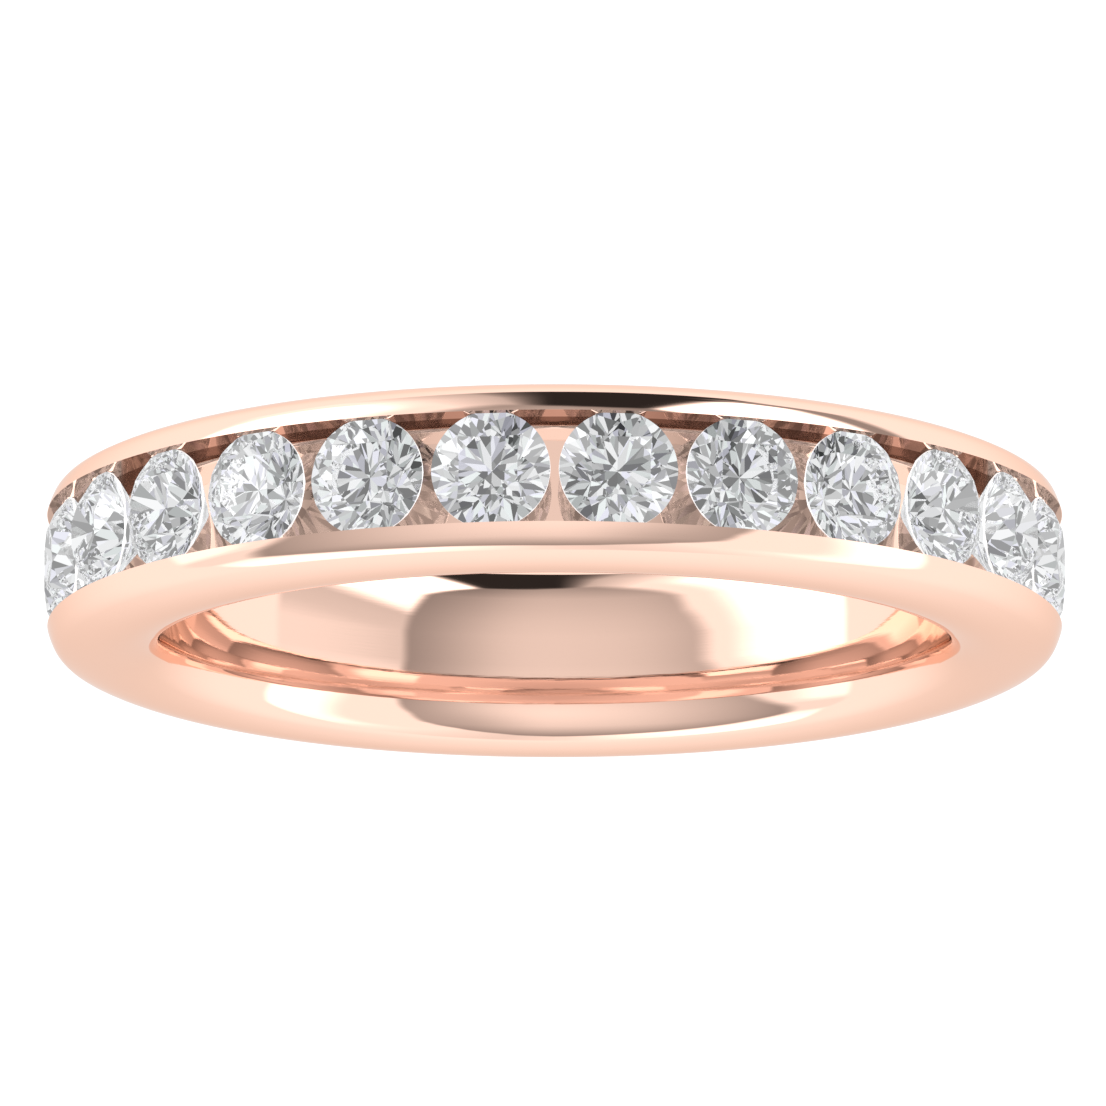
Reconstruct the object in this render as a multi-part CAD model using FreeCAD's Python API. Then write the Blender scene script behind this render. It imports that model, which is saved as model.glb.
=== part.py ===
import FreeCAD, Part
import os
from math import asin, cos, degrees, radians, sin, sqrt, tan

# Full eternity band: one precious-metal casting with a channel running all the way round
# it, and round brilliant-cut stones held in the channel between its two rails.
#
# Frame: the finger axis is Y, the ring stands upright with +Z up, and the origin is the
# centre of the finger hole, on the mid-plane between the two rails. The gap between the
# first and the last stone faces +Z. All lengths are millimetres, all angles degrees.

# ---------------------------------------------------------------- band
BORE_RADIUS = 8.25            # finger hole at its tightest (ring size 6 US)
BORE_FLAT_HALF = 0.30         # half length of the truly cylindrical middle of the bore
HALF_WIDTH = 2.00             # half of the band width, at the belly of the side

# The rounding of the band is a chain of tangent arcs. Each tilt is that of the surface
# normal away from the radial direction.
BELLY_RADIUS = 2.08
BELLY_CENTRE = (HALF_WIDTH - BELLY_RADIUS, 9.456)
OUTER_SHOULDER_RADIUS = 0.574  # between the belly and the rail
OUTER_BELLY_TILT = 62.0        # where the belly meets the outer shoulder
RAIL_TILT = 26.0               # where the outer shoulder meets the rail's top
RAIL_CROWN_RADIUS = 1.45       # gently domed top of each rail
INNER_BELLY_TILT = 70.5        # where the belly meets the inner shoulder
INNER_SHOULDER_TILT = 26.0     # where the inner shoulder meets the flank
FLANK_RADIUS = 1.424           # comfort-fit flank of the bore
FLANK_TILT = 7.3               # where the flank meets the easing curve
EASE_RADIUS = 5.74             # long easing curve towards the middle of the bore
EASE_TILT = 2.3                # where the easing curve meets the last arc

# Two trial radii of the inner shoulder, from which the true one is interpolated
TRIAL_RADIUS_LOW = 0.50
TRIAL_RADIUS_HIGH = 0.70

# ---------------------------------------------------------------- channel
CHANNEL_HALF = 1.21           # half of the opening between the rails
FLOOR_RADIUS = 9.215          # channel floor, just under the tips of the stones
FLOOR_FILLET = 0.10           # fillet where the floor meets the rails

# ---------------------------------------------------------------- stones
STONE_COUNT = 24
STONE_PITCH = 360.0 / STONE_COUNT
FIRST_STONE_ANGLE = 0.5 * STONE_PITCH
STONE_RADIUS = 2.55 / 2.0
GIRDLE_MID_RADIUS = 10.40     # distance of the girdle's mid-plane from the finger axis
GIRDLE_HALF = 0.080 / 2.0     # half thickness, at the tips of the kite facets
TABLE_RATIO = 0.535           # table, corner to corner, over the diameter
CROWN_HEIGHT = 0.415
STAR_RATIO = 0.52             # how far the star facets reach from the table to the girdle
PAVILION_ANGLE = 40.8
LOWER_HALF_RATIO = 0.78       # how far the lower halves reach from the girdle to the tip
FACET_COUNT = 8               # kites, stars and pavilion mains, each
FACET_PITCH = 360.0 / FACET_COUNT
BLANK_MARGIN = 0.2            # extra length of the uncut blank beyond tip and table
CUTTER_SIZE = 8.0             # edge of the blocks that cut the facets

# Bearing groove in the inner wall of each rail, in which the girdles sit
SEAT_CLEARANCE = 0.008
SEAT_HALF_IN = 0.115          # below the girdle's mid-plane, at the wall
SEAT_HALF_OUT = 0.105         # above it, at the wall
SEAT_LAND_HALF = 0.050        # half height of the groove's bottom


# ---------------------------------------------------------------- section of the band
# A point of the section is (y, r): y along the finger axis, r away from it.
# The normal of an arc points either away from the finger axis or towards it.
OUTWARD, INWARD = 1.0, -1.0


def on_arc(centre, radius, tilt, direction):
    """Point of an arc where the normal tilts by `tilt` from the radial direction."""
    return (centre[0] + radius * sin(radians(tilt)),
            centre[1] + direction * radius * cos(radians(tilt)))


def centre_for(point, radius, tilt, direction):
    """Centre of the arc that passes through `point` with its normal at `tilt`."""
    return on_arc(point, -radius, tilt, direction)


def arc_points(centre, radius, tilt_from, tilt_to, direction):
    """Start, middle and end of an arc."""
    tilts = (tilt_from, 0.5 * (tilt_from + tilt_to), tilt_to)
    return [on_arc(centre, radius, tilt, direction) for tilt in tilts]


def outer_arcs():
    """Arcs from the channel's edge, over the rail, to the belly."""
    belly_end = on_arc(BELLY_CENTRE, BELLY_RADIUS, OUTER_BELLY_TILT, OUTWARD)
    shoulder_centre = centre_for(belly_end, OUTER_SHOULDER_RADIUS, OUTER_BELLY_TILT, OUTWARD)
    shoulder = arc_points(shoulder_centre, OUTER_SHOULDER_RADIUS, RAIL_TILT,
                          OUTER_BELLY_TILT, OUTWARD)
    rail_centre = centre_for(shoulder[0], RAIL_CROWN_RADIUS, RAIL_TILT, OUTWARD)
    edge_tilt = degrees(asin((CHANNEL_HALF - rail_centre[0]) / RAIL_CROWN_RADIUS))
    rail = arc_points(rail_centre, RAIL_CROWN_RADIUS, edge_tilt, RAIL_TILT, OUTWARD)
    return [rail, shoulder]


def inner_arcs(shoulder_radius):
    """Arcs from the belly to the middle of the bore, for one inner shoulder radius."""
    arcs = []
    start = on_arc(BELLY_CENTRE, BELLY_RADIUS, INNER_BELLY_TILT, INWARD)
    for radius, tilt_from, tilt_to in (
        (shoulder_radius, INNER_BELLY_TILT, INNER_SHOULDER_TILT),
        (FLANK_RADIUS, INNER_SHOULDER_TILT, FLANK_TILT),
        (EASE_RADIUS, FLANK_TILT, EASE_TILT),
    ):
        centre = centre_for(start, radius, tilt_from, INWARD)
        arcs.append(arc_points(centre, radius, tilt_from, tilt_to, INWARD))
        start = arcs[-1][-1]
    # the last arc meets the cylinder tangentially at BORE_FLAT_HALF
    last_radius = (start[0] - BORE_FLAT_HALF) / sin(radians(EASE_TILT))
    last_centre = (BORE_FLAT_HALF, start[1] + last_radius * cos(radians(EASE_TILT)))
    arcs.append(arc_points(last_centre, last_radius, EASE_TILT, 0.0, INWARD))
    return arcs


def fitted_shoulder_radius():
    """Inner shoulder radius whose arcs end on the stated bore.

    The bore radius is linear in the shoulder radius, so two trials are enough.
    """
    bore_low = inner_arcs(TRIAL_RADIUS_LOW)[-1][-1][1]
    bore_high = inner_arcs(TRIAL_RADIUS_HIGH)[-1][-1][1]
    share = (BORE_RADIUS - bore_low) / (bore_high - bore_low)
    return TRIAL_RADIUS_LOW + (TRIAL_RADIUS_HIGH - TRIAL_RADIUS_LOW) * share


def half_profile():
    """Arcs of the +Y side from the channel's edge, over the belly, to the bore's middle."""
    outer = outer_arcs()
    inner = inner_arcs(fitted_shoulder_radius())
    widest = (HALF_WIDTH, BELLY_CENTRE[1])
    belly = [outer[-1][-1], widest, inner[0][0]]
    return outer + [belly] + inner


def channel_wall(edge_radius):
    """Corners of the +Y wall with its bearing groove, from the floor fillet outwards."""
    groove_y = STONE_RADIUS + SEAT_CLEARANCE
    return [
        (CHANNEL_HALF, FLOOR_RADIUS + FLOOR_FILLET),
        (CHANNEL_HALF, GIRDLE_MID_RADIUS - SEAT_HALF_IN),
        (groove_y, GIRDLE_MID_RADIUS - SEAT_LAND_HALF),
        (groove_y, GIRDLE_MID_RADIUS + SEAT_LAND_HALF),
        (CHANNEL_HALF, GIRDLE_MID_RADIUS + SEAT_HALF_OUT),
        (CHANNEL_HALF, edge_radius),
    ]


def floor_fillet():
    """Points of the fillet between the floor and the +Y wall, from the floor outwards."""
    inset = FLOOR_FILLET * (1.0 - sqrt(0.5))
    return [
        (CHANNEL_HALF - FLOOR_FILLET, FLOOR_RADIUS),
        (CHANNEL_HALF - inset, FLOOR_RADIUS + inset),
        (CHANNEL_HALF, FLOOR_RADIUS + FLOOR_FILLET),
    ]


def mirrored(points):
    """The same run on the -Y side, walked the other way."""
    return [(-y, r) for y, r in reversed(points)]


def section_vector(point):
    return FreeCAD.Vector(0.0, point[0], point[1])


def arc_edge(points):
    return Part.Arc(*[section_vector(point) for point in points]).toShape()


def line_edges(points):
    return [Part.makeLine(section_vector(start), section_vector(end))
            for start, end in zip(points[:-1], points[1:])]


def band_section():
    """Closed outline of the section, starting at the channel's edge on the +Y side."""
    profile = half_profile()
    rail_edge, bore_end = profile[0][0], profile[-1][-1]
    wall = channel_wall(rail_edge[1])
    fillet = floor_fillet()

    edges = [arc_edge(points) for points in profile]
    edges += line_edges([bore_end] + mirrored([bore_end]))
    edges += [arc_edge(mirrored(points)) for points in reversed(profile)]
    # channel: down the -Y wall, across the floor and up the +Y wall
    edges += line_edges(mirrored(wall))
    edges.append(arc_edge(mirrored(fillet)))
    edges += line_edges(mirrored([fillet[0]]) + [fillet[0]])
    edges.append(arc_edge(fillet))
    edges += line_edges(wall)
    return edges


def make_band():
    wire = Part.Wire(Part.__sortEdges__(band_section()))
    return Part.Face(wire).revolve(FreeCAD.Vector(0, 0, 0), FreeCAD.Vector(0, 1, 0), 360.0)


# ---------------------------------------------------------------- one brilliant, table up
# Stone frame: girdle mid-plane at z = 0, table towards +z, tip towards -z. The flats of
# the table's octagon face along and across the finger axis, and diagonally between.
def half_space(point, normal):
    """Big block on the inner side of the plane through `point` with outward `normal`."""
    block = Part.makeBox(CUTTER_SIZE, CUTTER_SIZE, CUTTER_SIZE,
                         FreeCAD.Vector(-CUTTER_SIZE / 2, -CUTTER_SIZE / 2, -CUTTER_SIZE))
    direction = FreeCAD.Vector(normal)
    direction.normalize()
    turn = FreeCAD.Rotation(FreeCAD.Vector(0, 0, 1), direction)
    block.Placement = FreeCAD.Placement(point, turn)
    return block


def plane_through(first, second, third, outside_hint):
    """Point and normal of a plane, the normal on the same side as the hint."""
    normal = (second - first).cross(third - first)
    if normal.dot(outside_hint) < 0:
        normal = normal * -1.0
    return first, normal


def polar(radius, angle, z):
    return FreeCAD.Vector(radius * cos(radians(angle)), radius * sin(radians(angle)), z)


def facet_planes():
    """Point and outward normal of every facet."""
    table_radius = TABLE_RATIO * STONE_RADIUS
    table_z = GIRDLE_HALF + CROWN_HEIGHT
    crown_run = STONE_RADIUS - table_radius
    pavilion_slope = tan(radians(PAVILION_ANGLE))
    half_pitch = FACET_PITCH / 2
    half_cos = cos(radians(half_pitch))

    # star tip: on the ridge between two kites
    table_flat = table_radius * half_cos
    star_radius = table_flat + STAR_RATIO * (STONE_RADIUS - table_flat)
    star_z = GIRDLE_HALF + CROWN_HEIGHT * (STONE_RADIUS - star_radius * half_cos) / crown_run
    # lower-half tip: on the ridge between two pavilion mains
    lower_radius = (1.0 - LOWER_HALF_RATIO) * STONE_RADIUS
    lower_z = -GIRDLE_HALF - (STONE_RADIUS - lower_radius * half_cos) * pavilion_slope

    planes = [(FreeCAD.Vector(0, 0, table_z), FreeCAD.Vector(0, 0, 1))]
    for i in range(FACET_COUNT):
        corner = half_pitch + FACET_PITCH * i     # angle of a corner of the table
        girdle_top = polar(STONE_RADIUS, corner, GIRDLE_HALF)
        girdle_bottom = polar(STONE_RADIUS, corner, -GIRDLE_HALF)
        # kite
        planes.append((girdle_top, polar(CROWN_HEIGHT, corner, crown_run)))
        # star
        planes.append(plane_through(
            polar(table_radius, corner, table_z),
            polar(table_radius, corner + FACET_PITCH, table_z),
            polar(star_radius, corner + half_pitch, star_z),
            polar(1.0, corner + half_pitch, 1.0)))
        # upper and lower half on each side of the corner
        for side in (-1.0, 1.0):
            ridge = corner + side * half_pitch
            middle = corner + side * half_pitch / 2
            planes.append(plane_through(
                girdle_top,
                polar(STONE_RADIUS, ridge, GIRDLE_HALF),
                polar(star_radius, ridge, star_z),
                polar(1.0, middle, 1.0)))
            planes.append(plane_through(
                girdle_bottom,
                polar(STONE_RADIUS, ridge, -GIRDLE_HALF),
                polar(lower_radius, ridge, lower_z),
                polar(1.0, middle, -1.0)))
        # pavilion main
        planes.append((girdle_bottom, polar(pavilion_slope, corner, -1.0)))
    return planes


def make_brilliant():
    """Round blank, cut by one facet after another."""
    tip_z = -GIRDLE_HALF - STONE_RADIUS * tan(radians(PAVILION_ANGLE))
    bottom = tip_z - BLANK_MARGIN
    top = GIRDLE_HALF + CROWN_HEIGHT + BLANK_MARGIN
    stone = Part.makeCylinder(STONE_RADIUS, top - bottom, FreeCAD.Vector(0, 0, bottom))
    for point, normal in facet_planes():
        stone = stone.common(half_space(point, normal))
    return stone.Solids[0]


def place_stone(stone, angle):
    """Table outwards, at `angle` from +Z, turning towards +X."""
    placed = stone.copy()
    placed.Placement = FreeCAD.Placement(
        FreeCAD.Vector(GIRDLE_MID_RADIUS * sin(radians(angle)), 0.0,
                       GIRDLE_MID_RADIUS * cos(radians(angle))),
        FreeCAD.Rotation(FreeCAD.Vector(0, 1, 0), angle),
    )
    return placed


def main():
    os.makedirs("parts", exist_ok=True)
    make_band().exportStep("parts/band.step")
    stone = make_brilliant()
    for i in range(STONE_COUNT):
        angle = FIRST_STONE_ANGLE + i * STONE_PITCH
        place_stone(stone, angle).exportStep("parts/stone_%02d.step" % (i + 1))


main()
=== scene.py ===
"""Eternity ring in polished rose gold: 24 round brilliants held in a channel.

The finger axis is Y and the ring stands upright in the XZ plane, centred on the origin.
The band's section is drawn in millimetres as (y, r): y along the finger axis, r away
from it. Meshes are in metres.
"""
from math import asin, copysign, cos, degrees, hypot, pi, radians, sin, tan

import bpy
import bmesh
from mathutils import Matrix, Vector


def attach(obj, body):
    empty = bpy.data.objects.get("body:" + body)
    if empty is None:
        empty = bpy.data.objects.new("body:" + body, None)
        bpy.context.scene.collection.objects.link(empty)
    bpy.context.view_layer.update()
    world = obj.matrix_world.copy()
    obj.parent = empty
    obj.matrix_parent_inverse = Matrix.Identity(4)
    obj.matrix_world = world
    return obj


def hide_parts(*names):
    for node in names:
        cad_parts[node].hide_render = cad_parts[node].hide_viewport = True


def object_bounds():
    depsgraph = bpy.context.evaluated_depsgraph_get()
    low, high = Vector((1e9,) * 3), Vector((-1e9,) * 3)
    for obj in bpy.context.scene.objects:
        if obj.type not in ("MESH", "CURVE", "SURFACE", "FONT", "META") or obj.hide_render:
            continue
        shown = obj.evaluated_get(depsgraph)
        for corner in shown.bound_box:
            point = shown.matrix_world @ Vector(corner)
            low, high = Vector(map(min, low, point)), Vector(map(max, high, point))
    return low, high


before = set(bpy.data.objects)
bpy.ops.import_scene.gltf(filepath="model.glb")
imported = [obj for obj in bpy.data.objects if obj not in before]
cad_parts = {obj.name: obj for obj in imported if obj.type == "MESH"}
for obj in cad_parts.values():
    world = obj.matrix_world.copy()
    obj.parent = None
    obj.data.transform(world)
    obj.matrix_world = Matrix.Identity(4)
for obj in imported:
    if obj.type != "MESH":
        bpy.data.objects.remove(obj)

cad_low, cad_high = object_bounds()

MM = 0.001
CLEAR = 1e-6                    # tolerance when comparing places on the section, mm

# ------------------------------------------------------------------ sizes, mm and degrees
# stones
STONES = 24
STONE_DIAMETER = 2.55
GIRDLE_RADIUS = 10.40           # from the finger axis to the middle of the girdles

# section: tangent arcs from the channel's edge, over the side, to the bore. A tilt is
# the angle between the surface normal and the radial direction.
BORE_RADIUS = 8.25
BORE_FLAT = 0.30                # half width of the flat strip in the bore
HALF_WIDTH = 2.00
SIDE_RADIUS = 2.08
SIDE_CENTRE = (HALF_WIDTH - SIDE_RADIUS, 9.456)
SIDE_OUTER_TILT = 62.0
SIDE_INNER_TILT = 70.5
OUTER_RADIUS = 0.574            # rounding between side and rail
RAIL_RADIUS = 1.45              # top of the rail beside the channel
RAIL_TILT = 26.0
SHOULDER_END_TILT = 26.0        # the shoulder's radius follows from BORE_RADIUS
FLANK_RADIUS, FLANK_END_TILT = 1.424, 7.3
EASE_RADIUS, EASE_END_TILT = 5.74, 2.3

# channel
CHANNEL_HALF = 1.21
FLOOR_RADIUS = 9.215
FLOOR_FILLET = 0.10
FLOOR_STEPS = 6
FILLET_STEPS = 6
BEARING_DEPTH = STONE_DIAMETER / 2 + 0.008      # |y| at the bottom of the bearing cuts
BEARING_HALF = 0.050            # half height of the cut's bottom
BEARING_TOP = 0.105             # its mouth, above and below the middle of the girdle
BEARING_FOOT = 0.115

STEPS_PER_STONE = 22            # steps round the ring
BEARING_STEPS = 3               # a bearing cut reaches this many steps each way


# ------------------------------------------------------------------ section of the band
def on_arc(centre, radius, tilt, side):
    """Point of an arc at a tilt; side is 1 facing outwards, -1 facing the finger."""
    return (centre[0] + radius * sin(radians(tilt)),
            centre[1] + side * radius * cos(radians(tilt)))


def centre_for(point, radius, tilt, side):
    """Centre of the arc that passes through a point at a tilt."""
    return (point[0] - radius * sin(radians(tilt)),
            point[1] - side * radius * cos(radians(tilt)))


def inner_arcs(shoulder_radius):
    """Arcs from the side to the bore, and the bore radius they arrive at."""
    point = on_arc(SIDE_CENTRE, SIDE_RADIUS, SIDE_INNER_TILT, -1)
    arcs = []
    for radius, start, end, steps in (
        (shoulder_radius, SIDE_INNER_TILT, SHOULDER_END_TILT, 14),
        (FLANK_RADIUS, SHOULDER_END_TILT, FLANK_END_TILT, 6),
        (EASE_RADIUS, FLANK_END_TILT, EASE_END_TILT, 4),
    ):
        centre = centre_for(point, radius, start, -1)
        arcs.append((centre, radius, -1, start, end, steps))
        point = on_arc(centre, radius, end, -1)
    radius = (point[0] - BORE_FLAT) / sin(radians(EASE_END_TILT))
    centre = (BORE_FLAT, point[1] + radius * cos(radians(EASE_END_TILT)))
    arcs.append((centre, radius, -1, EASE_END_TILT, 0.0, 4))
    return arcs, centre[1] - radius


def section_arcs():
    """(centre, radius, side, tilt from, tilt to, steps) from the channel's edge to the bore."""
    # the bore reached is linear in the shoulder's radius, so two trials give it
    trial, step = 0.5, 0.2
    reach_a = inner_arcs(trial)[1]
    reach_b = inner_arcs(trial + step)[1]
    shoulder_radius = trial + step * (BORE_RADIUS - reach_a) / (reach_b - reach_a)

    point = on_arc(SIDE_CENTRE, SIDE_RADIUS, SIDE_OUTER_TILT, 1)
    outer_centre = centre_for(point, OUTER_RADIUS, SIDE_OUTER_TILT, 1)
    point = on_arc(outer_centre, OUTER_RADIUS, RAIL_TILT, 1)
    rail_centre = centre_for(point, RAIL_RADIUS, RAIL_TILT, 1)
    edge_tilt = degrees(asin((CHANNEL_HALF - rail_centre[0]) / RAIL_RADIUS))
    return [
        (rail_centre, RAIL_RADIUS, 1, edge_tilt, RAIL_TILT, 5),
        (outer_centre, OUTER_RADIUS, 1, RAIL_TILT, SIDE_OUTER_TILT, 12),
        (SIDE_CENTRE, SIDE_RADIUS, 1, SIDE_OUTER_TILT, 90.0, 8),
        (SIDE_CENTRE, SIDE_RADIUS, -1, 90.0, SIDE_INNER_TILT, 6),
    ] + inner_arcs(shoulder_radius)[0]


def half_outline():
    """(point, normal) pairs on the +Y half, from the channel's edge to the bore."""
    outline = []
    for centre, radius, side, start, end, steps in section_arcs():
        for i in range(steps + 1):
            tilt = start + (end - start) * i / steps
            y, r = on_arc(centre, radius, tilt, side)
            # neighbouring arcs share their end points
            if outline:
                last_y, last_r = outline[-1][0]
                if abs(last_y - y) + abs(last_r - r) < CLEAR:
                    continue
            outline.append(((y, r), (sin(radians(tilt)), side * cos(radians(tilt)))))
    return outline


def flipped(pair):
    """A section point or normal moved to the other side of y = 0."""
    return (-pair[0], pair[1])


def channel_outline(edge_r):
    """Points of the channel from the +Y rail's edge to the -Y one's."""
    half = [
        (CHANNEL_HALF, edge_r),
        (CHANNEL_HALF, GIRDLE_RADIUS + BEARING_TOP),
        (BEARING_DEPTH, GIRDLE_RADIUS + BEARING_HALF),
        (BEARING_DEPTH, GIRDLE_RADIUS - BEARING_HALF),
        (CHANNEL_HALF, GIRDLE_RADIUS - BEARING_FOOT),
        (CHANNEL_HALF, FLOOR_RADIUS + FLOOR_FILLET),
    ]
    floor_half = CHANNEL_HALF - FLOOR_FILLET
    for i in range(1, FILLET_STEPS + 1):
        angle = radians(90.0 * i / FILLET_STEPS)
        half.append((floor_half + FLOOR_FILLET * cos(angle),
                     FLOOR_RADIUS + FLOOR_FILLET - FLOOR_FILLET * sin(angle)))
    floor = [(floor_half - 2 * floor_half * i / FLOOR_STEPS, FLOOR_RADIUS)
             for i in range(1, FLOOR_STEPS)]
    return half + floor + [flipped(point) for point in reversed(half)]


def channel_normals(a, b):
    """Normals at both ends of a channel segment, towards the channel's open side."""
    fillet_top = FLOOR_RADIUS + FLOOR_FILLET
    low, high = sorted((a[1], b[1]))
    if high < fillet_top + CLEAR and high > FLOOR_RADIUS + CLEAR:
        centre_y = copysign(CHANNEL_HALF - FLOOR_FILLET, a[0] + b[0])
        return [((centre_y - y) / FLOOR_FILLET, (fillet_top - r) / FLOOR_FILLET)
                for y, r in (a, b)]
    length = hypot(b[0] - a[0], b[1] - a[1])
    normal = (-(b[1] - a[1]) / length, (b[0] - a[0]) / length)
    level = high - low < 1e-9
    facing = normal[1] if level else -normal[0] * (a[0] + b[0])
    if facing < 0:
        normal = (-normal[0], -normal[1])
    return [normal, normal]


def section_segments():
    """Closed section as (start, end, normal at start, normal at end): from the -Y rail's
    edge round the outside and the bore to the +Y rail's edge, then back by the channel."""
    half = half_outline()
    outer = [(flipped(point), flipped(normal)) for point, normal in half] + half[::-1]
    segments = [(a, b, normal_a, normal_b)
                for (a, normal_a), (b, normal_b) in zip(outer, outer[1:])]
    channel = channel_outline(half[0][0][1])
    for a, b in zip(channel, channel[1:]):
        segments.append((a, b, *channel_normals(a, b)))
    return segments


# ------------------------------------------------------------------ band mesh
def on_bearing(a, b):
    """True for the wall segments that the bearing cuts bend."""
    return (all(CHANNEL_HALF - CLEAR < abs(y) < BEARING_DEPTH + CLEAR for y in (a[0], b[0]))
            and min(a[1], b[1]) > GIRDLE_RADIUS - 0.12
            and max(a[1], b[1]) < GIRDLE_RADIUS + 0.11)


def behind_girdle(i):
    """True at the steps round the ring where the wall is cut back for a girdle."""
    offset = (i - STEPS_PER_STONE // 2) % STEPS_PER_STONE
    return min(offset, STEPS_PER_STONE - offset) <= BEARING_STEPS


def build_band():
    """One closed surface of revolution with exact normals, so the polish reflects cleanly.
    The walls of the channel are flat, with a bearing cut behind each girdle."""
    segments = section_segments()
    points = [segment[0] for segment in segments]
    size = len(points)
    count = STONES * STEPS_PER_STONE
    turns = [(sin(2 * pi * i / count), cos(2 * pi * i / count)) for i in range(count)]

    verts = []
    for i, (s, c) in enumerate(turns):
        for y, r in points:
            cut_bottom = (abs(abs(y) - BEARING_DEPTH) < CLEAR
                          and abs(r - GIRDLE_RADIUS) < BEARING_HALF + 0.001)
            if cut_bottom and not behind_girdle(i):
                y = copysign(CHANNEL_HALF, y)
            verts.append((r * s * MM, y * MM, r * c * MM))

    faces, normals = [], []
    for i, turn in enumerate(turns):
        j = (i + 1) % count
        next_turn = turns[j]
        for k, (a, b, normal_a, normal_b) in enumerate(segments):
            l = (k + 1) % size
            face = (i * size + k, j * size + k, j * size + l, i * size + l)
            faces.append(face)
            if on_bearing(a, b):
                corners = [Vector(verts[v]) for v in face]
                normal = (corners[2] - corners[0]).cross(corners[3] - corners[1]).normalized()
                if normal.y * a[0] > 0:
                    normal.negate()
                normals += [tuple(normal)] * 4
                continue
            for (n_y, n_r), (s, c) in ((normal_a, turn), (normal_b, turn),
                                       (normal_b, next_turn), (normal_a, next_turn)):
                normals.append((n_r * s, n_y, n_r * c))

    mesh = bpy.data.meshes.new("polished_band")
    mesh.from_pydata(verts, [], faces)
    mesh.validate()
    # turns the faces away from the metal; each keeps its first corner and reverses the
    # rest, which is the order the normals are listed in
    mesh.flip_normals()
    for polygon in mesh.polygons:
        polygon.use_smooth = True
    mesh.normals_split_custom_set(normals)
    mesh.update()
    return add_object("polished_band", mesh)


def add_object(name, data):
    ob = bpy.data.objects.new(name, data)
    bpy.context.scene.collection.objects.link(ob)
    return ob


# ------------------------------------------------------------------ brilliant mesh
# mm and degrees, or shares as noted; the girdle's middle is at z = 0, the table towards +z
TABLE_SHARE = 0.535             # table diameter by stone diameter
GIRDLE_HALF = 0.040
CROWN_HEIGHT = 0.415
PAVILION_ANGLE = 40.8
STAR_SHARE = 0.52               # length of the star facets
LOWER_SHARE = 0.78              # length of the lower halves
GIRDLE_SIDES = 96
PRISM_SPARE = 0.3               # the uncut prism is this much longer at each end


def polar(radius, angle, z):
    return Vector((radius * cos(radians(angle)), radius * sin(radians(angle)), z))


def facet_planes():
    """(point, outward normal) of each of the 57 facets."""
    radius = STONE_DIAMETER / 2
    table = TABLE_SHARE * radius
    table_z = GIRDLE_HALF + CROWN_HEIGHT
    slope = tan(radians(PAVILION_ANGLE))
    half_step = cos(radians(22.5))
    star = table * half_step + STAR_SHARE * (radius - table * half_step)
    star_z = GIRDLE_HALF + CROWN_HEIGHT * (radius - star * half_step) / (radius - table)
    lower = (1.0 - LOWER_SHARE) * radius
    lower_z = -GIRDLE_HALF - (radius - lower * half_step) * slope
    planes = [(Vector((0, 0, table_z)), Vector((0, 0, 1)))]

    def through(a, b, c, outward):
        normal = (b - a).cross(c - a).normalized()
        if normal.dot(outward) < 0:
            normal.negate()
        planes.append((a, normal))

    for k in range(8):
        angle = 22.5 + 45.0 * k
        out = polar(1.0, angle, 0.0)
        # main crown facet, then the star facet beside it
        crown = Vector((out.x * CROWN_HEIGHT, out.y * CROWN_HEIGHT, radius - table))
        planes.append((polar(radius, angle, GIRDLE_HALF), crown.normalized()))
        through(polar(table, angle, table_z), polar(table, angle + 45, table_z),
                polar(star, angle + 22.5, star_z), polar(1, angle + 22.5, 1))
        # upper and lower halves on both sides
        for side in (-1, 1):
            next_angle = angle + side * 22.5
            for up, inner, inner_z in ((1, star, star_z), (-1, lower, lower_z)):
                through(polar(radius, angle, up * GIRDLE_HALF),
                        polar(radius, next_angle, up * GIRDLE_HALF),
                        polar(inner, next_angle, inner_z),
                        polar(1, angle + side * 11.25, up))
        # main pavilion facet
        pavilion = Vector((out.x * slope, out.y * slope, -1.0))
        planes.append((polar(radius, angle, -GIRDLE_HALF), pavilion.normalized()))
    return planes


def brilliant_mesh():
    """57 facets (slot 0) and a round girdle (slot 1), cut from a prism plane by plane."""
    radius = STONE_DIAMETER / 2
    top = CROWN_HEIGHT + GIRDLE_HALF + PRISM_SPARE
    bottom = -GIRDLE_HALF - radius * tan(radians(PAVILION_ANGLE)) - PRISM_SPARE
    bm = bmesh.new()
    upper, lower = [
        [bm.verts.new(polar(radius, 360.0 * i / GIRDLE_SIDES, z)) for i in range(GIRDLE_SIDES)]
        for z in (top, bottom)
    ]
    bm.faces.new(upper)
    bm.faces.new(list(reversed(lower)))
    for i in range(GIRDLE_SIDES):
        j = (i + 1) % GIRDLE_SIDES
        bm.faces.new((lower[i], lower[j], upper[j], upper[i]))

    for point, normal in facet_planes():
        bmesh.ops.bisect_plane(bm, geom=bm.verts[:] + bm.edges[:] + bm.faces[:], dist=1e-7,
                               plane_co=point, plane_no=normal,
                               clear_outer=True, clear_inner=False)
        rim = [edge for edge in bm.edges if edge.is_boundary]
        if rim:
            bmesh.ops.contextual_create(bm, geom=rim)
    bmesh.ops.remove_doubles(bm, verts=bm.verts[:], dist=2e-5)
    bmesh.ops.dissolve_degenerate(bm, dist=1e-5, edges=bm.edges[:])
    bmesh.ops.recalc_face_normals(bm, faces=bm.faces[:])

    for face in bm.faces:
        face.smooth = False
        centre = face.calc_center_median()
        upright = abs(face.normal.z) < 0.05
        at_rim = hypot(centre.x, centre.y) > 0.99 * radius
        face.material_index = 1 if upright and at_rim else 0
    bmesh.ops.scale(bm, vec=(MM, MM, MM), verts=bm.verts[:])
    mesh = bpy.data.meshes.new("brilliant")
    bm.to_mesh(mesh)
    bm.free()
    return mesh


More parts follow.
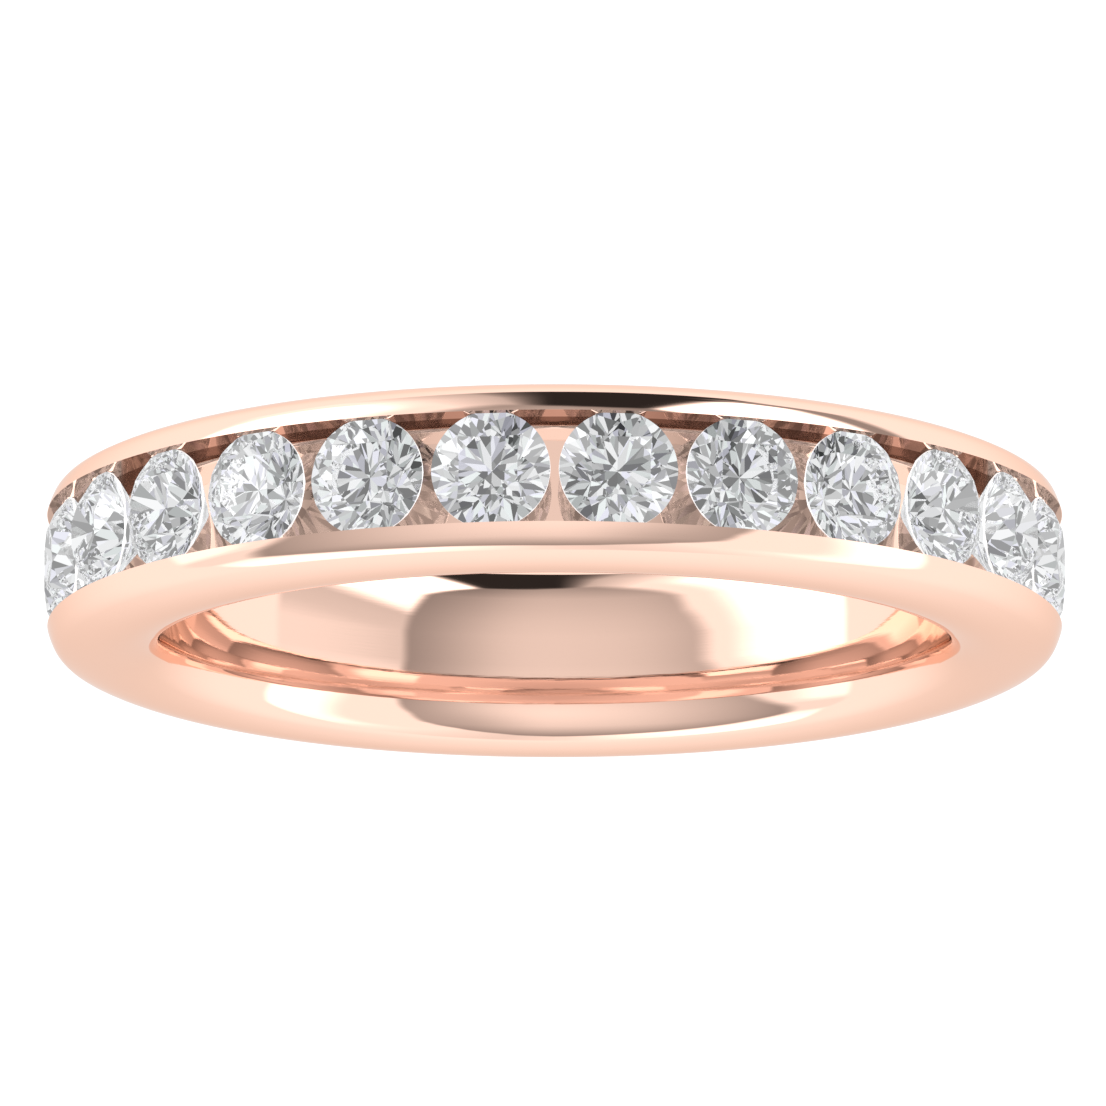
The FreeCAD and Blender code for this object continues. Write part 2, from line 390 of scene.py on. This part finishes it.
def build_stones(facets, girdle):
    """Brilliants round the channel, tables outwards."""
    base = brilliant_mesh()
    base.materials.append(facets)
    base.materials.append(girdle)
    made = []
    for i in range(STONES):
        angle = radians((i + 0.5) * 360.0 / STONES)
        name = "brilliant_%02d" % (i + 1)
        mesh = base.copy()
        mesh.name = name
        seat = Vector((sin(angle), 0.0, cos(angle))) * (GIRDLE_RADIUS * MM)
        mesh.transform(Matrix.Translation(seat) @ Matrix.Rotation(angle, 4, "Y"))
        made.append(add_object(name, mesh))
    bpy.data.meshes.remove(base)
    return made


# ------------------------------------------------------------------ node helpers
class Value:
    """A node's output; arithmetic on it adds Math nodes."""

    def __init__(self, nodes, socket):
        self.nodes = nodes
        self.socket = socket

    def __add__(self, other):
        return self.nodes.math("ADD", self, other)

    def __radd__(self, other):
        return self.nodes.math("ADD", other, self)

    def __sub__(self, other):
        return self.nodes.math("SUBTRACT", self, other)

    def __rsub__(self, other):
        return self.nodes.math("SUBTRACT", other, self)

    def __mul__(self, other):
        return self.nodes.math("MULTIPLY", self, other)

    def __truediv__(self, other):
        return self.nodes.math("DIVIDE", self, other)


class Nodes:
    """Short calls for building a node tree. Inputs are {socket name or index: value}."""

    def __init__(self, tree):
        self.tree = tree

    def new(self, kind, inputs=None, **settings):
        """Add a node and return it."""
        node = self.tree.nodes.new(kind)
        for name, value in settings.items():
            setattr(node, name, value)
        self.fill(node, inputs or {})
        return node

    def fill(self, node, inputs):
        for key, value in inputs.items():
            if isinstance(value, Value):
                value = value.socket
            if isinstance(value, bpy.types.NodeSocket):
                self.tree.links.new(value, node.inputs[key])
            else:
                node.inputs[key].default_value = value

    def out(self, kind, inputs=None, output=0, **settings):
        """Add a node and return one of its outputs."""
        return Value(self, self.new(kind, inputs, **settings).outputs[output])

    def math(self, operation, a, b=None):
        inputs = {0: a} if b is None else {0: a, 1: b}
        return self.out("ShaderNodeMath", inputs, operation=operation)

    def vector(self, operation, a, b=None, output=0):
        inputs = {0: a} if b is None else {0: a, 1: b}
        return self.out("ShaderNodeVectorMath", inputs, output, operation=operation)

    def split(self, vector):
        node = self.new("ShaderNodeSeparateXYZ", {0: vector})
        return [Value(self, socket) for socket in node.outputs]

    def join(self, kind, parts):
        """Combine three values; kind is "Color" or "XYZ"."""
        return self.out("ShaderNodeCombine" + kind, dict(enumerate(parts)))

    def smooth(self, value, start, end, low=0.0, high=1.0):
        """low at start, high at end, eased between; start may be greater than end."""
        return self.out("ShaderNodeMapRange", {
            "Value": value, "From Min": start, "From Max": end, "To Min": low, "To Max": high,
        }, "Result", interpolation_type="SMOOTHSTEP")

    def mix(self, a, b, share):
        return self.out("ShaderNodeMix", {0: share, 2: a, 3: b},
                        data_type="FLOAT", clamp_factor=True)

    def blend(self, a, b, share, **settings):
        """Mix of two colours."""
        return self.out("ShaderNodeMix", {0: share, 6: a, 7: b}, 2,
                        data_type="RGBA", **settings)

    def curve(self, turn, stops, scale):
        """Piecewise-linear curve round the tent: stops are (azimuth, value up to scale)."""
        node = self.new("ShaderNodeValToRGB", {0: turn})
        node.color_ramp.interpolation = "LINEAR"
        elements = node.color_ramp.elements
        while len(elements) < len(stops):
            elements.new(0.5)
        for element, (azimuth, _) in zip(elements, stops):
            element.position = azimuth / 360.0
        for element, (_, value) in zip(elements, stops):
            element.color = (value / scale, value / scale, value / scale, 1.0)
        return Value(self, node.outputs[0]) * scale

    def noise(self, vector, scale, detail):
        return self.out("ShaderNodeTexNoise",
                        {"Vector": vector, "Scale": scale, "Detail": detail})

    def ray(self, output):
        return self.out("ShaderNodeLightPath", output=output)


def rgb(r, g, b):
    return (r, g, b, 1.0)


def new_material(name):
    """A material, its nodes and its Principled BSDF."""
    material = bpy.data.materials.new(name)
    material.use_nodes = True
    tree = material.node_tree
    return material, Nodes(tree), tree.nodes["Principled BSDF"]


# ------------------------------------------------------------------ studio light
TO_DEGREES = 180.0 / pi

# Curves round the tent: (azimuth, value). Azimuth is 0 towards -Y and 90 towards +X;
# heights are angles from the zenith, all in degrees.
# where the ceiling ends
EDGE = [
    (0, 88), (5, 85), (10, 78), (23, 65), (38, 56), (57, 49.5), (80, 47), (107, 46.4),
    (126, 46.3), (155, 49), (165, 46.3), (173, 45.8), (183, 47.3), (193, 50.5), (219, 47.3),
    (241, 44), (253, 46.4), (266, 54), (277, 61), (284, 65.5), (290, 71), (296, 78),
    (306, 83), (318, 82), (333, 82), (347, 84), (359, 88),
]
# half width of the ceiling's soft edge
SOFT = [
    (0, 3), (20, 2), (110, 2), (157, 2), (186, 2.5), (200, 4.5), (215, 4), (235, 3),
    (260, 4), (290, 5), (310, 3), (359, 3),
]
# brightness of the side panels
PANEL = [
    (0, 1.02), (6, 0.97), (28, 1.12), (36, 1.25), (60, 1.34), (88, 1.30), (93, 1.10),
    (102, 1.02), (106, 0.91), (113, 0.87), (117, 1.30), (120, 1.45), (153, 1.45),
    (157, 0.24), (160, 0.18), (181, 0.18), (185, 0.42), (190, 0.82), (201, 1.02),
    (208, 1.18), (214, 1.45), (252, 1.45), (262, 1.25), (286, 1.24), (291, 1.02),
    (303, 1.02), (309, 1.22), (322, 1.34), (345, 1.32), (353, 1.15), (359, 1.03),
]
# the panels are duller above this height
FULL = [
    (0, 60), (20, 84), (36, 89), (45, 86), (60, 79), (75, 72), (90, 67), (100, 50),
    (116, 49), (157, 49), (185, 49), (200, 66), (210, 65), (222, 63), (240, 60), (256, 62),
    (270, 78), (284, 80), (290, 86), (300, 86), (359, 86),
]
# and a little duller again below this one
FADE = [
    (0, 130), (190, 130), (196, 66), (203, 72), (222, 90), (240, 97), (246, 130), (359, 130),
]
# where the table begins
TABLE = [
    (0, 112), (12, 110), (26, 105), (34, 101), (45, 100), (60, 98), (75, 95), (90, 91),
    (105, 91), (157, 93), (162, 98), (186, 97), (195, 95), (235, 95), (250, 97), (290, 97),
    (303, 96), (308, 96), (318, 101), (330, 109), (340, 111), (359, 112),
]
CEILING_TILT = radians(17.0)    # the ceiling's brightest spot leans this far towards -Y


def ceiling_shade(nodes, direction, x, zenith):
    """Soft ceiling that fades from its brightest spot."""
    centre = Vector((0.0, -sin(CEILING_TILT), cos(CEILING_TILT)))
    closeness = nodes.vector("DOT_PRODUCT", direction, centre, "Value")
    away = nodes.math("ARCCOSINE", nodes.math("MINIMUM", closeness, 1.0)) * TO_DEGREES
    # 1.04 at the middle, 0.40 less at 68 degrees from it
    shade = 1.04 - nodes.math("POWER", away / 68.0, 1.5) * 0.40
    # darker low on the +X side, a touch lighter on the -X side, never below 0.56
    shade = shade - nodes.smooth(x, 0.0, 0.40) * nodes.smooth(zenith, 12.0, 46.0) * 0.13
    shade = shade + nodes.smooth(x, -0.1, -0.5) * 0.02
    return nodes.math("MAXIMUM", shade, 0.56)


def plain_light(nodes, direction, x, azimuth, zenith):
    """Linear brightness of the tent: ceiling, side panels with a dark gap, and table."""
    turn = nodes.math("FRACT", azimuth / 360.0 + 1.0)
    ceiling = ceiling_shade(nodes, direction, x, zenith)
    edge = nodes.curve(turn, EDGE, 180.0)
    panel = nodes.curve(turn, PANEL, 2.0)
    full = nodes.curve(turn, FULL, 180.0)
    table = nodes.curve(turn, TABLE, 180.0)
    fade = nodes.curve(turn, FADE, 180.0)
    soft = nodes.curve(turn, SOFT, 10.0)

    # panels, held to 1.08 above FULL and to 1.14 below FADE
    sides = nodes.mix(nodes.math("MINIMUM", panel, 1.08), panel,
                      nodes.smooth(zenith, full - 9.0, full + 5.0))
    sides = nodes.mix(sides, nodes.math("MINIMUM", panel, 1.14),
                      nodes.smooth(zenith, fade - 2.0, fade + 2.0))
    shade = nodes.mix(ceiling, sides, nodes.smooth(zenith, edge - soft, edge + soft))
    # the table darkens towards straight down
    floor = 1.075 - nodes.smooth(zenith, 112.0, 176.0) * 0.135
    shade = nodes.mix(shade, floor, nodes.smooth(zenith, table - 2.0, table + 2.0))
    # a soft grey streak near the horizon, towards +X and +Y: its middle slopes from
    # 88 degrees at azimuth 145, and it runs from azimuth 112 to 164
    from_middle = nodes.math("ABSOLUTE", zenith - (88.0 + (145.0 - azimuth) * 0.08))
    streak = nodes.smooth(from_middle, 7.0, 2.0) * (
        nodes.smooth(azimuth, 112.0, 122.0) * nodes.smooth(azimuth, 164.0, 156.0))
    shade = nodes.mix(shade, 0.62, streak)
    # display brightness to linear light
    return nodes.math("POWER", (shade + 0.055) / 1.055, 2.4)


def gem_light(nodes, azimuth, zenith):
    """What the stones gather from: narrow bright cards and grey gaps all round the tent."""
    def waves(per_turn):
        return azimuth * (per_turn / TO_DEGREES)

    def sine(value):
        return nodes.math("SINE", value)

    fan = sine(waves(11.0) + zenith * 0.05)
    rings = sine(zenith * 0.31 + sine(waves(3.0)) * 1.3)
    light = nodes.smooth(fan * 0.5 + rings * 0.5, -0.72, 0.76, low=0.085, high=1.03)
    # a few narrow black flags
    flag = (nodes.smooth(sine(waves(5.0) + 1.1), 0.90, 0.985)
            * nodes.smooth(sine(zenith * 0.19 + 0.6), 0.80, 0.95))
    light = light * (1.0 - flag * 0.9)
    # faint lavender (cool) and sea-green (warm) casts
    hue = sine(waves(7.0) + zenith * 0.23)
    cool = nodes.smooth(hue, 0.55, 0.9)
    warm = nodes.smooth(hue, -0.55, -0.9)
    return nodes.join("Color", (
        light * (0.985 - cool * 0.085 - warm * 0.05),
        light * (0.995 - cool * 0.09),
        light * (1.005 - warm * 0.015 + cool * 0.03),
    ))


def light_tent():
    """Node group: the light arriving from a direction. "Light" is for the metal and every
    plain surface, "Gems" for light that left a stone."""
    if "light_tent" in bpy.data.node_groups:
        return bpy.data.node_groups["light_tent"]
    group = bpy.data.node_groups.new("light_tent", "ShaderNodeTree")
    for name, in_out, kind in (("Direction", "INPUT", "NodeSocketVector"),
                               ("Light", "OUTPUT", "NodeSocketFloat"),
                               ("Gems", "OUTPUT", "NodeSocketColor")):
        group.interface.new_socket(name, in_out=in_out, socket_type=kind)
    nodes = Nodes(group)
    group_in = nodes.new("NodeGroupInput")
    group_out = nodes.new("NodeGroupOutput")
    direction = nodes.vector("NORMALIZE", group_in.outputs["Direction"])
    x, y, z = nodes.split(direction)
    zenith = nodes.math("ARCCOSINE", z) * TO_DEGREES
    azimuth = nodes.math("ARCTAN2", x, y * -1.0) * TO_DEGREES
    nodes.fill(group_out, {
        "Light": plain_light(nodes, direction, x, azimuth, zenith),
        "Gems": gem_light(nodes, azimuth, zenith),
    })
    return group


def tent_light(nodes, direction):
    """Node with the tent's light from a direction, for a material or the world."""
    return nodes.new("ShaderNodeGroup", {"Direction": direction}, node_tree=light_tent())


def mirrored(nodes):
    """Direction that a mirror at this point shows."""
    geometry = nodes.new("ShaderNodeNewGeometry")
    view = nodes.out("ShaderNodeVectorMath",
                     {0: geometry.outputs["Incoming"], "Scale": -1.0}, operation="SCALE")
    return nodes.vector("REFLECT", view, geometry.outputs["Normal"])


def from_above(nodes, geometry):
    """1 where a ring's part is looked at from outside the ring, 0 from the finger's side."""
    flat = nodes.vector("MULTIPLY", geometry.outputs["Position"], (1.0, 0.0, 1.0))
    outward = nodes.vector("NORMALIZE", flat)
    facing = nodes.vector("DOT_PRODUCT", geometry.outputs["Incoming"], outward, "Value")
    return nodes.smooth(facing, 0.0, 0.2)


def studio_world():
    world = bpy.data.worlds.new("light_tent")
    bpy.context.scene.world = world
    world.use_nodes = True
    world.node_tree.nodes.clear()
    nodes = Nodes(world.node_tree)
    tent = tent_light(nodes, nodes.out("ShaderNodeTexCoord", output="Generated"))
    light = nodes.blend(tent.outputs["Light"], tent.outputs["Gems"],
                        nodes.ray("Is Transmission Ray"))
    # the camera itself looks at a plain pale backdrop
    shown = nodes.blend(light, rgb(0.93, 0.93, 0.93), nodes.ray("Is Camera Ray"))
    background = nodes.out("ShaderNodeBackground", {"Color": shown})
    nodes.new("ShaderNodeOutputWorld", {"Surface": background})


# ------------------------------------------------------------------ materials
def channel_shade_mask(nodes, across, radius):
    """1 on the channel's walls, where shade is painted, and 0 elsewhere. Places are in metres.
    """
    # the top limit drops by 0.18 mm inside the bearing cuts
    top = 0.010778 - nodes.smooth(across, 0.001211, 0.001216) * 0.00018
    painted_shade_zone = nodes.smooth(across, 0.001195, 0.001206) * nodes.smooth(radius, top, top - 0.00001)
    painted_shade_zone = painted_shade_zone * nodes.smooth(radius, 0.009215, 0.009230)
    return painted_shade_zone * nodes.smooth(across, 0.001300, 0.001290)


def rose_gold():
    """Mirror-polished rose gold: hairline polishing marks, a faint drift of colour and gloss,
    and channel walls with painted shade in their colour, darkest near the floor, where they are
    also a little rougher."""
    material, nodes, bsdf = new_material("rose_gold_polished")
    place = nodes.out("ShaderNodeTexCoord", output="Object")
    x, y, z = nodes.split(place)
    radius = nodes.math("SQRT", x * x + z * z)
    angle = nodes.math("ARCTAN2", x, z)
    across = nodes.math("ABSOLUTE", y)

    # slow drift of the alloy's colour
    tone = nodes.blend(rgb(0.985, 0.672, 0.546), rgb(1.0, 0.688, 0.561),
                       nodes.noise(place, scale=260.0, detail=3.0))
    # painted shade on the channel walls: their colour is darkened, less above the girdles, most
    # near the floor, and unevenly along the ring
    painted_shade_zone = channel_shade_mask(nodes, across, radius)
    # 1 near the channel's floor, where the painted shade is darkest
    low = nodes.smooth(radius, 0.010085, 0.010045)
    along_ring = nodes.join("XYZ", (angle * 40.0, radius * 9000.0, y))
    wall_shade_noise = nodes.noise(along_ring, scale=1.0, detail=3.0)
    upper_wall_painted_shade = nodes.blend(rgb(0.53, 0.385, 0.318), rgb(0.63, 0.460, 0.385), wall_shade_noise)
    lower_wall_painted_shade = nodes.blend(rgb(0.165, 0.080, 0.059), rgb(0.245, 0.125, 0.094), wall_shade_noise)
    tone = nodes.blend(tone, nodes.blend(upper_wall_painted_shade, lower_wall_painted_shade, low), painted_shade_zone)
    # light trapped between polished walls: a duller second reflection, and no more red after
    # it; the walls pass on all they get to the floor beside them
    depth = nodes.ray("Glossy Depth")
    second = nodes.math("GREATER_THAN", depth, 0.5)
    deep = nodes.math("MAXIMUM", nodes.math("GREATER_THAN", depth, 1.5), second * painted_shade_zone)
    dull = nodes.blend(tone, rgb(0.828, 0.845, 0.895), second, blend_type="MULTIPLY")
    # colour at grazing angles, with painted shade on the channel walls, darkest near the floor
    graze = nodes.blend(rgb(0.95, 0.78, 0.70), rgb(0.70, 0.56, 0.49), low)
    graze = nodes.blend(rgb(1.0, 0.84, 0.75), graze, painted_shade_zone)
    # gloss: buffed zones a little softer than others
    gloss = nodes.smooth(nodes.noise(place, scale=900.0, detail=4.0), 0.3, 0.75,
                         low=0.028, high=0.050)
    # hairlines left by the buffing wheel: they run round the ring
    hair_place = nodes.join("XYZ", (angle * 9.0, y * 26000.0, radius * 26000.0))
    bump = nodes.out("ShaderNodeBump", {
        "Strength": 0.02,
        "Distance": 0.00001,
        "Height": nodes.noise(hair_place, scale=1.0, detail=2.0),
    })
    nodes.fill(bsdf, {
        "Base Color": nodes.blend(dull, rgb(0.96, 0.93, 0.91), deep),
        "Metallic": 1.0,
        "Specular Tint": nodes.blend(graze, rgb(0.97, 0.95, 0.94), deep),
        "Roughness": gloss + painted_shade_zone * (low * 0.10),
        "Normal": bump,
    })
    return material


def diamond():
    """Clear polished diamond. Inside the stone a facet either mirrors the light or lets it
    out, as the angle says, which keeps the facets crisp."""
    ior = 2.417
    material = bpy.data.materials.new("diamond_facets")
    material.use_nodes = True
    material.node_tree.nodes.clear()
    nodes = Nodes(material.node_tree)
    fresnel = nodes.out("ShaderNodeFresnel", {"IOR": ior})
    geometry = nodes.new("ShaderNodeNewGeometry")
    inner = Value(nodes, geometry.outputs["Backfacing"])
    trapped = nodes.math("GREATER_THAN", fresnel, 0.55)
    mirror_share = nodes.mix(fresnel, trapped, inner)
    # light is lost on the way out
    passed = 1.0 - fresnel * inner * 0.55
    # seen in the polished gold a stone is duller than face to face, most of all from below
    in_gold = nodes.ray("Is Glossy Ray")
    dim = 0.5 - from_above(nodes, geometry) * 0.38
    passed = passed * (1.0 - in_gold * (1.0 - inner) * dim)
    through = nodes.out("ShaderNodeBsdfRefraction", {
        "IOR": ior,
        "Roughness": 0.0,
        "Color": nodes.join("Color", [passed] * 3),
    })
    mirror = nodes.out("ShaderNodeBsdfGlossy", {"Roughness": 0.0, "Color": rgb(1.0, 1.0, 1.0)})
    # painted reflection: the outer surface is an emission of the tent's light from the mirrored
    # direction, never of the gold beside it
    tent = tent_light(nodes, mirrored(nodes))
    gloss = nodes.out("ShaderNodeEmission", {"Color": tent.outputs["Light"]})
    reflected = nodes.out("ShaderNodeMixShader", {0: inner, 1: gloss, 2: mirror})
    surface = nodes.out("ShaderNodeMixShader", {0: mirror_share, 1: through, 2: reflected})
    nodes.new("ShaderNodeOutputMaterial", {"Surface": surface})
    return material


def frosted_girdle():
    """Finely ground girdle: frosted, slightly uneven, with a painted glow."""
    material, nodes, bsdf = new_material("diamond_girdle")
    place = nodes.out("ShaderNodeTexCoord", output="Object")
    grain = nodes.noise(place, scale=40000.0, detail=3.0)
    tone = nodes.new("ShaderNodeValToRGB", {0: grain})
    tone.color_ramp.elements[0].color = rgb(0.90, 0.90, 0.91)
    tone.color_ramp.elements[1].color = rgb(0.98, 0.98, 0.98)
    # painted light: an emission stands in for the stone's own light glowing through the
    # frosting, strongest towards the channel's walls
    painted_glow_inside = 0.35
    in_gold = nodes.ray("Is Glossy Ray")
    geometry = nodes.new("ShaderNodeNewGeometry")
    to_wall = in_gold * from_above(nodes, geometry)
    outside = 1.0 - Value(nodes, geometry.outputs["Backfacing"])
    painted_glow_outside = 0.70 + to_wall * 1.25
    nodes.fill(bsdf, {
        "Base Color": tone.outputs[0],
        "Roughness": nodes.smooth(grain, 0.3, 0.7, low=0.35, high=0.55),
        "IOR": 1.8,
        "Emission Color": tone.outputs[0],
        "Emission Strength": painted_glow_inside + outside * (painted_glow_outside - painted_glow_inside),
    })
    return material


# ------------------------------------------------------------------ table and camera
def white_table(z):
    """Pale glowing table under the ring. Only the camera and soft light see it: the metal
    and the stones see the light tent's own lower half."""
    half = 1.5
    mesh = bpy.data.meshes.new("table_top")
    corners = [(-half, -half, z), (half, -half, z), (half, half, z), (-half, half, z)]
    mesh.from_pydata(corners, [], [(0, 1, 2, 3)])
    table = add_object("table_top", mesh)
    material, nodes, bsdf = new_material("table_white")
    nodes.fill(bsdf, {
        "Base Color": rgb(0.30, 0.30, 0.30),
        "Roughness": 1.0,
        "Specular IOR Level": 0.0,
        "Emission Color": rgb(1, 1, 1),
        "Emission Strength": 0.96,
    })
    mesh.materials.append(material)
    table.visible_glossy = False
    table.visible_transmission = False


def add_camera():
    """Orthographic view from -Y and high above, looking steeply down."""
    elevation = radians(78.0)
    distance = 0.3
    shift_left, shift_up = 0.03485 * MM, 0.3750625 * MM
    data = bpy.data.cameras.new("camera")
    camera = add_object("camera", data)
    data.type = "ORTHO"
    data.ortho_scale = 23.5025 * MM
    data.clip_start, data.clip_end = 0.01, 10.0
    forward = Vector((0, cos(elevation), -sin(elevation)))
    up = Vector((0, sin(elevation), cos(elevation)))
    right = Vector((1, 0, 0))
    camera.location = -forward * distance - right * shift_left + up * shift_up
    camera.rotation_euler = (radians(90.0) - elevation, 0.0, 0.0)
    bpy.context.scene.camera = camera


# ------------------------------------------------------------------ put it together
band = build_band()
band.data.materials.append(rose_gold())
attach(band, "root")
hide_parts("band")
# light leaving a stone goes on to the light tent, so the stones stay white in the gold
band.visible_transmission = False

for i, stone in enumerate(build_stones(diamond(), frosted_girdle())):
    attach(stone, "root")
    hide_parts("stone_%02d" % (i + 1))

studio_world()
white_table(cad_low.z - 0.00002)
add_camera()

scene = bpy.context.scene
scene.view_settings.view_transform = "Standard"
scene.view_settings.look = "None"
scene.cycles.max_bounces = 40
scene.cycles.glossy_bounces = 32
scene.cycles.transmission_bounces = 24
scene.cycles.diffuse_bounces = 3
scene.cycles.blur_glossy = 0.0
scene.cycles.sample_clamp_indirect = 0.0
